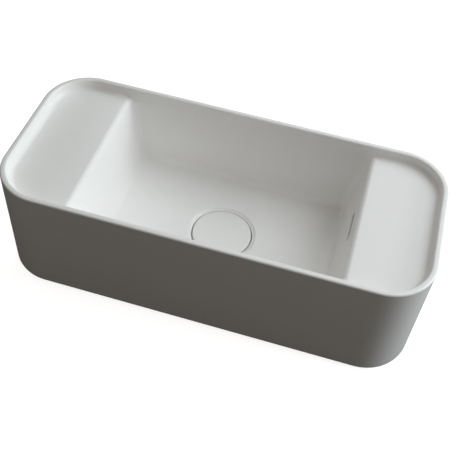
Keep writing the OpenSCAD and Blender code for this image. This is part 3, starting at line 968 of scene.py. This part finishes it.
@dataclass
class WasteFitting:
    """The flanged waste body, its two seals, the slip washer and the back nut."""

    bore: float = 17.5
    tail: float = 20.955
    gap: float = 0.05
    pitch: float = 2.309
    thread_depth: float = 1.0
    thread_steps: int = 48
    thread_start: float = 0.6
    crest_share: float = 0.1
    root_share: float = 0.42
    sink: float = 0.3  # how far the ridge sinks into the core
    sink_share: float = 0.46
    groove_depth: float = 1.4
    groove_low: float = -1.5
    groove_high: float = 0.5
    plain_low: float = 15.0
    flange_t: float = 3.0
    seat: float = 4.0  # width and depth of the slanted seat
    window_w: float = 12.0
    window_low: float = 19.5
    window_high: float = 28.0
    window_r: float = 2.0
    window_turn: float = 30.0
    arms: int = 3
    arm_turn: float = 90.0
    arm_t: float = 3.0
    arm_r: float = 0.8
    arm_low: float = 19.0
    arm_high: float = 27.0
    hub: float = 9.5
    hub_bore: float = 7.55
    hole: float = 23.0
    cone_h: float = 3.0
    cone_gap: float = 0.2
    nut_bore: float = 21.005
    nut_chamfer: float = 2.0
    nut_soft: float = 0.3
    nut_soft_from: float = 28.0
    chamfer: float = 0.8
    seal_groove: float = 0.7
    slope: float = 0.9  # length of the slope between core and plain tail
    soft: float = 0.35
    softer: float = 0.4
    sharp: float = 32.0
    steps: int = 144
    ring_steps: int = 96
    hub_steps: int = 64

    def thread(self, name: str, low: float, high: float) -> Object:
        """A helical ridge along the tail, with a blunt start and end.

        Args:
            name: the object's name.
            low: the level where its first turn starts.
            high: the level that its last turn ends under.

        Returns:
            The ridge, which sinks a little into the tail's core.
        """
        bm = bmesh.new()
        root = self.tail - self.thread_depth
        half = [(root - self.sink, self.sink_share), (root, self.root_share), (self.tail, self.crest_share)]
        tooth = [(radius, -share) for radius, share in half] + half[::-1]
        first = low + self.pitch / 2
        verts = [bm.verts.new((radius, 0.0, first + share * self.pitch)) for radius, share in tooth]
        steps = int(((high - low) / self.pitch - 1) * self.thread_steps)
        bmesh.ops.spin(bm, geom=[bm.faces.new(verts)], cent=CENTRE, axis=UPWARD,
                       dvec=(0.0, 0.0, self.pitch / self.thread_steps),
                       angle=FULL_TURN * steps / self.thread_steps, steps=steps, use_merge=False,
                       use_duplicate=False)
        bmesh.ops.holes_fill(bm, edges=[e for e in bm.edges if e.is_boundary], sides=0)
        return mesh_object(bm, name)

    def body(self, place: Place) -> Object:
        """The flange with its slanted plug seat, the threaded tail, and the hub on its three arms."""
        radius, low, high = place
        root, groove = self.tail - self.thread_depth, self.tail - self.groove_depth
        under, end = high - self.flange_t, self.chamfer
        tube = [(self.bore, low), (root - end, low), (root, low + end), (root, self.groove_low),
                (groove, self.groove_low), (groove, self.groove_high), (root, self.groove_high),
                (root, self.plain_low), (self.tail, self.plain_low + self.slope), (self.tail, under),
                (radius, under), (radius, high), (self.bore + self.seat, high), (self.bore, high - self.seat)]
        body = turned("waste_fitting", tube, self.steps, self.soft)
        hub = washer(self.hub_bore, self.hub, self.arm_low, self.arm_high)
        combine(body, turned("hub", hub, self.hub_steps, self.softer), Join.ADD)
        combine_round(body, Join.ADD, self.arm_turn, self.arms, "arm", self.arm_t / 2, self.arm_low,
                      self.arm_high, self.arm_r, self.hub - PAST, self.bore + PAST)
        combine_round(body, Join.CUT, self.window_turn, self.arms, "window", self.window_w / 2,
                      self.window_low, self.window_high, self.window_r, self.bore - 2 * PAST,
                      self.tail + 2 * PAST)
        absorb(body, self.thread("trap_thread", low + self.thread_start, self.groove_low))
        absorb(body, self.thread("nut_thread", self.groove_high, self.plain_low + self.thread_start))
        smooth(body.data, self.sharp)
        return body

    def flat_ring(self, name: str, soft: float, place: Place) -> Object:
        """The flat seal under the flange, or the plastic washer on which the nut turns."""
        return turned(name, washer(self.tail + self.gap, *place), self.ring_steps, soft)

    def lower_seal(self, place: Place) -> Object:
        """The seal under the boss, with its cone in the hole and a groove round its rim."""
        radius, low, high = place
        inner, flat, lip = self.tail + self.gap, high - self.cone_h, self.chamfer
        middle, groove = (low + flat) / 2, radius - self.seal_groove
        ring = [(inner, low), (radius, low), (radius, middle - lip), (groove, middle - lip / 2),
                (groove, middle + lip / 2), (radius, middle + lip), (radius, flat - lip),
                (radius - lip, flat), (self.hole - self.cone_gap, flat), (inner + lip, high), (inner, high)]
        return turned("cone_seal", ring, self.ring_steps, self.soft)

    def spool(self, name: str, place: Place, mouth: float, waist: float, depth: float) -> Object:
        """A tool for the nut's chamfers: straight in the middle, with another radius past both faces.

        Args:
            name: the object's name.
            place: the nut's place.
            mouth: its radius at its ends, past each face.
            waist: its radius in the middle.
            depth: how far inside each face the straight part starts.

        Returns:
            The tool.
        """
        _, low, high = place
        below, above = low - PAST, high + PAST
        return turned(name, [(0.0, below), (mouth, below), (waist, low + depth), (waist, high - depth),
                             (mouth, above), (0.0, above)], self.steps)

    def back_nut(self, place: Place) -> Object:
        """The flat hexagon nut, chamfered on both faces and at both ends of its bore."""
        radius, low, high = place
        bm = bmesh.new()
        across = radius / math.cos(math.radians(30))
        bmesh.ops.create_cone(bm, cap_ends=True, segments=6, radius1=across, radius2=across,
                              depth=high - low)
        bmesh.ops.translate(bm, vec=(0.0, 0.0, (low + high) / 2), verts=bm.verts)
        about_axis(bm, 30.0)
        nut = mesh_object(bm, "flat_nut")
        combine(nut, self.spool("chamfer", place, radius + PAST, across, self.nut_chamfer), Join.KEEP)
        combine(nut, self.spool("nut_bore", place, self.nut_bore + 2 * PAST, self.nut_bore, PAST), Join.CUT)
        ease_edges(nut, self.nut_soft, self.nut_soft_from)
        return nut

    def build(self, plan: Plan) -> None:
        """Builds and dresses the five pieces."""
        plan.build({"waste_body": self.body,
                    "flange_seal": partial(self.flat_ring, "flat_seal", self.softer),
                    "lower_seal": self.lower_seal,
                    "slip_washer": partial(self.flat_ring, "thin_washer", self.soft),
                    "back_nut": self.back_nut})


# The plug that is pressed


@dataclass
class PressPlug:
    """The ceramic plug, the pad that bonds it, its carrier with the seal, and the plunger."""

    edge: float = 1.5
    crown: float = 0.1
    spigot: float = 17.0
    spigot_l: float = 3.0
    socket: float = 7.0
    stem: float = 3.5
    stem_top: float = 36.8
    tip: float = 2.25
    collar_low: float = 9.0
    collar_high: float = 13.0
    relief: float = 0.4
    relief_l: float = 1.0
    gap: float = 0.05
    plate_t: float = 2.0
    foot_r: float = 1.0
    bulge: float = 0.3  # how far the pad's rim stands out
    pad_soft: float = 0.2
    plate_soft: float = 0.4
    seal_soft: float = 0.45
    stem_soft: float = 0.3
    cap_steps: int = 160
    ring_steps: int = 96
    stem_steps: int = 64
    foot_steps: int = 4
    edge_steps: int = 8
    CROWN_SHARES: ClassVar = (0.75, 0.5, 0.25, 0.0)

    def cap(self, place: Place) -> Object:
        """The round ceramic plug with its soft upper edge and a faint crown."""
        radius, low, high = place
        foot = arc(radius - self.foot_r, low + self.foot_r, self.foot_r, -90.0, 0.0, self.foot_steps)
        rim = arc(radius - self.edge, high - self.crown - self.edge, self.edge, 0.0, 90.0, self.edge_steps)
        crown = [(radius * share, high - self.crown * share ** 2) for share in self.CROWN_SHARES]
        return turned("ceramic_plug", [(0.0, low), *foot, *rim, *crown], self.cap_steps)

    def pad(self, place: Place) -> Object:
        """The pad that bonds the plug to its carrier, with a bulged rim."""
        radius, low, high = place
        inner, outer = self.socket, radius - self.bulge
        ring = [(inner, low), (outer, low), (radius, (low + high) / 2), (outer, high), (inner, high)]
        return turned("soft_pad", ring, self.ring_steps, self.pad_soft)

    def carrier(self, place: Place) -> Object:
        """The plate, the spigot for the seal and the socket for the plunger, with a rolled plate edge."""
        radius, low, high = place
        foot, bore = high - self.plate_t, self.stem + self.gap
        end = foot - self.spigot_l
        section = [(0.0, self.stem_top), (bore, self.stem_top), (bore, low), (self.socket, low),
                   (self.socket, end), (self.spigot, end), (self.spigot, foot), (radius, foot),
                   (radius, high), (0.0, high)]
        return turned("plug_plate", section, self.ring_steps, self.plate_soft)

    def seal(self, place: Place) -> Object:
        """The soft ring with its slanted lip."""
        radius, low, high = place
        ring = [(self.spigot, low), (radius - (high - low), low), (radius, high), (self.spigot, high)]
        return turned("lip_seal", ring, self.ring_steps, self.seal_soft)

    def plunger(self, place: Place) -> Object:
        """The stem with a relief groove over its collar, and the tip under it."""
        radius, low, high = place
        neck, top = self.stem - self.relief, self.collar_high + self.relief_l
        section = [(0.0, low), (self.tip, low), (self.tip, self.collar_low), (radius, self.collar_low),
                   (radius, self.collar_high), (neck, self.collar_high), (neck, top),
                   (self.stem, top + self.relief), (self.stem, high), (0.0, high)]
        return turned("push_stem", section, self.stem_steps, self.stem_soft)

    def build(self, plan: Plan) -> None:
        """Builds and dresses the five pieces."""
        plan.build({"plug_cap": self.cap, "bond_pad": self.pad, "plug_carrier": self.carrier,
                    "plug_seal": self.seal, "plunger": self.plunger})


# The cartridge under the plug


@dataclass
class Cartridge:
    """The sleeve with its guide, the index rotor and the end plug. The spring keeps its own solid."""

    barrel: float = 7.5
    bore: float = 5.5
    guide: float = 3.55
    collar_t: float = 1.5
    guide_l: float = 5.0
    grip_depth: float = 0.5
    grip_count: int = 3
    grip_start: float = 2.0
    grip_pitch: float = 2.6
    grip_w: float = 1.6
    grip_side: float = 0.4
    tip_bore: float = 2.3
    lugs: int = 4
    lug_w: float = 2.4
    lug_l: float = 1.0
    lug_drop: float = 1.0
    lug_r: float = 0.4
    lug_root: float = 1.2  # how far a lug reaches into the drum
    lug_gap: float = 0.14  # between a lug and the node's outer radius
    lug_soft: float = 0.15
    slot_depth: float = 1.6
    slot_w: float = 1.6
    slot_r: float = 0.3
    slot_share: float = 0.7  # share of the plug's radius that the slot reaches
    play: float = 0.05
    soft: float = 0.25
    plug_soft: float = 0.4
    steps: int = 64
    sleeve_steps: int = 72

    def sleeve(self, place: Place) -> Object:
        """The sleeve with its collar and three grip grooves near its foot."""
        radius, low, high = place
        under, guide, deep = high - self.collar_t, high - self.guide_l, self.barrel - self.grip_depth
        grips: Profile = []
        for k in range(self.grip_count):
            start = low + self.grip_start + self.grip_pitch * k
            end = start + self.grip_w
            grips += [(self.barrel, start), (deep, start + self.grip_side), (deep, end - self.grip_side),
                      (self.barrel, end)]
        section = [(self.bore, low), (self.barrel, low), *grips, (self.barrel, under), (radius, under),
                   (radius, high), (self.guide, high), (self.guide, guide), (self.bore, guide)]
        return turned("guide_sleeve", section, self.sleeve_steps, self.soft)

    def rotor(self, place: Place) -> Object:
        """The rotor with its four lugs, a little under the collar that it turns against."""
        radius, low, high = place
        drum = radius - self.lug_l
        ring = washer(self.tip_bore, drum, low, high - self.play)
        rotor = turned("lug_rotor", ring, self.steps, self.soft)
        combine_round(rotor, Join.ADD, 0.0, self.lugs, "lug", self.lug_w / 2, low, high - self.lug_drop,
                      self.lug_r, drum - self.lug_root, radius - self.lug_gap)
        ease_edges(rotor, self.lug_soft, SHARP_FROM)
        tidy_mesh(rotor.data)
        return rotor

    def end_plug(self, place: Place) -> Object:
        """The disc that closes the sleeve, with a slot for a driver in its foot."""
        plug = turned("sleeve_plug", washer(0.0, *place), self.steps, self.plug_soft)
        low, depth, reach = place.low, self.slot_depth, self.slot_share * place.radius
        slot = bar("driver_slot", self.slot_w / 2, low - depth, low + depth, self.slot_r, -reach, reach)
        combine(plug, slot, Join.CUT)
        smooth(plug.data, ROUND_FROM)
        return plug

    def build(self, plan: Plan) -> None:
        """Builds and dresses the three pieces, and finishes the spring's solid."""
        plan.build({"cartridge_sleeve": self.sleeve, "index_rotor": self.rotor, "end_plug": self.end_plug})
        plan.keep("return_spring")


# Stage


@dataclass(frozen=True)
class Lamp:
    """A soft square lamp that points at the basin: its direction in degrees, and metres and watts."""

    name: str
    azimuth: float
    elevation: float
    distance: float
    size: float
    power: float


LAMPS = (Lamp("key", 20.0, 47.0, 1.3, 0.8, 6.9), Lamp("low", 10.0, 14.0, 2.4, 1.2, 25.0),
         Lamp("back", 95.0, 40.0, 2.4, 1.2, 4.0), Lamp("top", 95.0, 62.0, 2.4, 1.2, 4.9),
         Lamp("left", 180.0, 65.0, 2.4, 1.2, 0.8))


@dataclass
class Studio:
    """The pale counter, the backdrop, the lamps and the camera."""

    azimuth: float = 12.233
    elevation: float = 49.929
    roll: float = 5.195
    distance: float = 964.457
    shift_right: float = 6.477
    shift_up: float = 37.848
    focal_px: float = 776.423
    frame_px: float = 450.0
    sensor: float = 36.0
    aim: float = 0.08  # metres over the counter that the lamps point at
    ambient: float = 0.162
    gloss: float = 0.64
    glow: float = 0.83
    shade: Colour = (1.0, 0.93, 0.84)
    daylight: Colour = (0.912, 0.995, 1.03)
    hole: float = 26.0
    hole_steps: int = 64
    spread: float = 200.0  # the counter's radius in radii of its hole
    sunk: float = 0.1
    thrown: float = 0.03  # the counter's tone in the light that it throws back
    tone: float = 0.93  # the counter's tone in view
    matt: float = 0.9

    def camera(self) -> None:
        """Places the camera where the view of the basin asks for it."""
        a, e, r = (math.radians(v) for v in (self.azimuth, self.elevation, self.roll))
        back = Vector((math.sin(a) * math.cos(e), -math.cos(a) * math.cos(e), math.sin(e)))
        right = Vector((math.cos(a), math.sin(a), 0.0))
        up = back.cross(right)
        side = right * math.cos(r) + up * math.sin(r)
        top = up * math.cos(r) - right * math.sin(r)
        place = (back * self.distance + side * self.shift_right + top * self.shift_up) * MM
        data = bpy.data.cameras.new("camera")
        data.sensor_fit = "HORIZONTAL"
        data.sensor_width = self.sensor
        data.lens = self.focal_px / self.frame_px * self.sensor
        thing = new_object("camera", data)
        thing.matrix_world = Matrix.Translation(place) @ Matrix((side, top, back)).transposed().to_4x4()
        bpy.context.scene.camera = thing

    def place_lamp(self, lamp: Lamp) -> None:
        """Hangs a lamp in its direction, turned to the basin."""
        data = bpy.data.lights.new(lamp.name, "AREA")
        data.shape = "SQUARE"
        data.size = lamp.size
        data.energy = lamp.power
        data.color = self.daylight
        turn, lift = math.radians(lamp.azimuth), math.radians(lamp.elevation)
        away = Vector((math.cos(turn) * math.cos(lift), math.sin(turn) * math.cos(lift), math.sin(lift)))
        place = Vector((0.0, 0.0, self.aim)) + away * lamp.distance
        turned_to = away.to_track_quat("Z", "Y").to_matrix().to_4x4()
        new_object(lamp.name, data).matrix_world = Matrix.Translation(place) @ turned_to

    def counter_material(self) -> Material:
        """Near white to the camera, and dim to the light that it throws back on the basin."""
        material = bpy.data.materials.new("pale_counter")
        material.use_nodes = True
        made = Nodes(material.node_tree)
        surface = material.node_tree.nodes["Principled BSDF"]
        seen = made.add("ShaderNodeLightPath").outputs["Is Camera Ray"]
        dim, pale = ((tone, tone, tone, 1.0) for tone in (self.thrown, self.tone))
        for socket, value in {"Roughness": self.matt, "Base Color": made.mix(seen, dim, pale),
                              "Emission Color": WHITE,
                              "Emission Strength": made.math("MULTIPLY", seen, self.glow)}.items():
            made.feed(surface, socket, value)
        return material

    def floor(self) -> None:
        """A wide counter with the round hole that the waste passes through."""
        bm = bmesh.new()
        bmesh.ops.create_circle(bm, cap_ends=False, segments=self.hole_steps, radius=self.hole)
        wide = bmesh.ops.extrude_edge_only(bm, edges=list(bm.edges))["geom"]
        verts = [g for g in wide if isinstance(g, BMVert)]
        bmesh.ops.scale(bm, vec=(self.spread, self.spread, 1.0), verts=verts)
        bmesh.ops.translate(bm, vec=(0.0, 0.0, -self.sunk), verts=bm.verts)
        floor = mesh_object(bm, "counter")
        floor.data.materials.append(self.counter_material())
        if floor.data.polygons[0].normal.z < 0:
            floor.data.flip_normals()

    def world(self) -> None:
        """White behind the counter, dimmer in the glaze's gloss, and a dim warm light on the basin."""
        world = bpy.data.worlds.new("studio")
        world.use_nodes = True
        bpy.context.scene.world = world
        made = Nodes(world.node_tree)
        sky = world.node_tree.nodes["Background"]
        path = made.add("ShaderNodeLightPath").outputs
        seen = path["Is Camera Ray"]
        made.feed(sky, "Color", made.mix(seen, (*self.shade, 1.0), WHITE))
        glossy = made.math("MULTIPLY_ADD", path["Is Glossy Ray"], self.gloss - self.ambient, self.ambient)
        made.feed(sky, "Strength", made.math("MAXIMUM", seen, glossy))

    def build(self) -> None:
        """Sets up the view, the counter, the world and the lamps."""
        bpy.context.scene.view_settings.view_transform = "Standard"
        self.camera()
        self.floor()
        self.world()
        for lamp in LAMPS:
            self.place_lamp(lamp)


def main() -> None:
    """Builds the studio and the pieces in order."""
    logging.basicConfig(level=logging.INFO, format="%(name)s %(message)s")
    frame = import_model()
    plan = Plan(frame)
    Studio().build()
    for part in (CeramicBasin(), WasteFitting(), PressPlug(), Cartridge()):
        part.build(plan)


if __name__ == "__main__":
    main()
